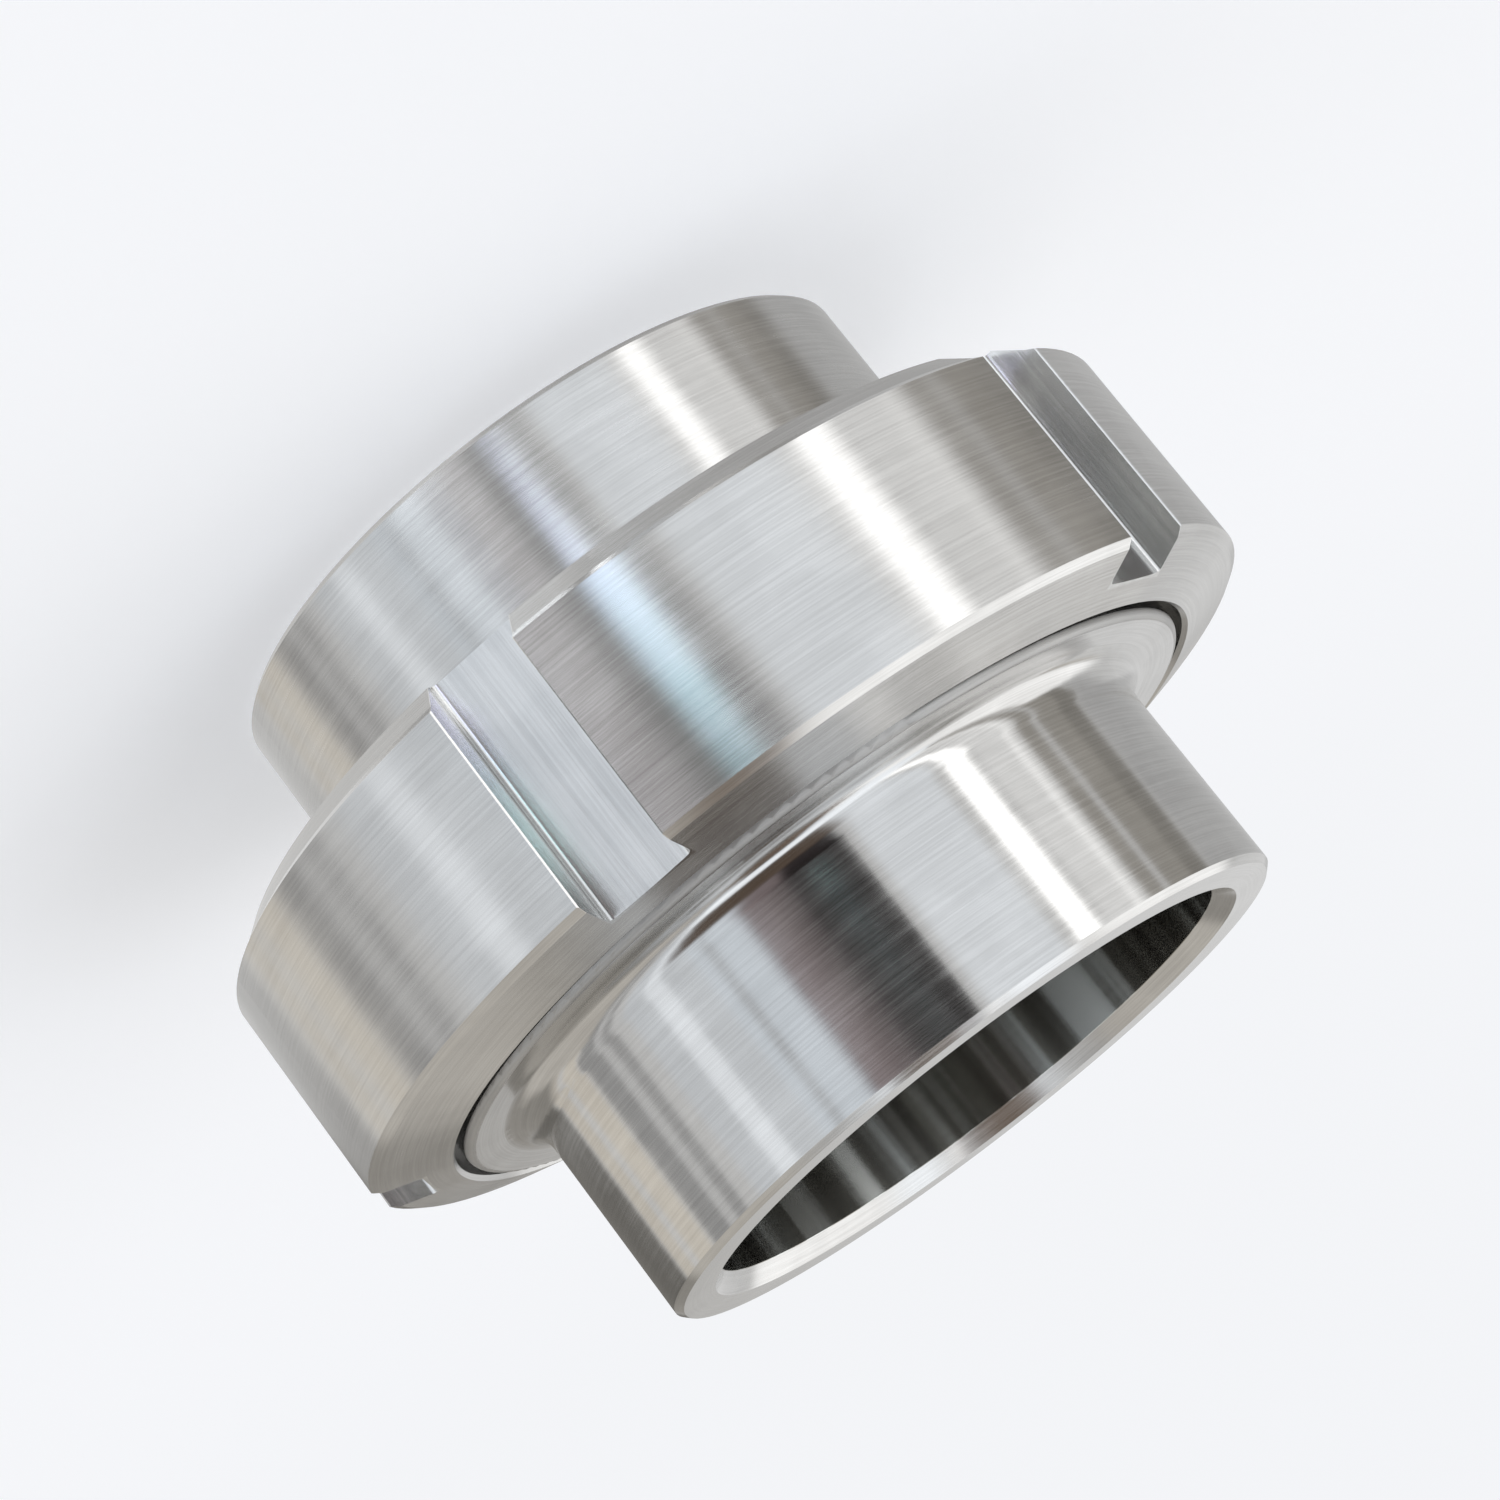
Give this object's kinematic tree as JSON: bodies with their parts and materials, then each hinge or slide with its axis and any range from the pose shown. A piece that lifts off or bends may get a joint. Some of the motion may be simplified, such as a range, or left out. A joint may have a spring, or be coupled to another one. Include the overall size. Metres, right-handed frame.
{
  "type": "sanitary union",
  "caption": "Screwed pipe union with plain weld stubs, a shouldered liner, a seal ring and a slotted round nut that draws the stubs together",
  "frame": {"origin": "centre of the male part's weld face, on which the union stands", "axes": "+Z along the bore, from the male part to the liner; a land of the nut faces -Y and a slot faces +Y"},
  "size_m": [0.1246, 0.1243, 0.085],
  "materials": {
    "stub_steel": "fine turned",
    "liner_steel": "fine turned, with a polished fillet",
    "nut_steel": "fine turned, with milled slots",
    "seal_rubber": "matt"
  },
  "bodies": {
    "male": {"male_part": "stub_steel", "seal_ring": "seal_rubber"},
    "liner": {"liner": "liner_steel"},
    "nut": {"slotted_nut": "nut_steel"}
  },
  "joints": [
    {"name": "liner_draw_off", "type": "slide", "parent": "male", "child": "liner", "axis": [0, 0, 1], "range_m": [0, 0.0191]},
    {"name": "nut_turn", "type": "hinge", "parent": "liner", "child": "nut", "pos_m": [0, 0, 0.05], "axis": [0, 0, 1], "range_deg": [0, 1620]}
  ],
  "couplings": [
    {"joint": "liner_draw_off", "follows": "nut_turn", "m_per_rad": 0.00067376}
  ]
}
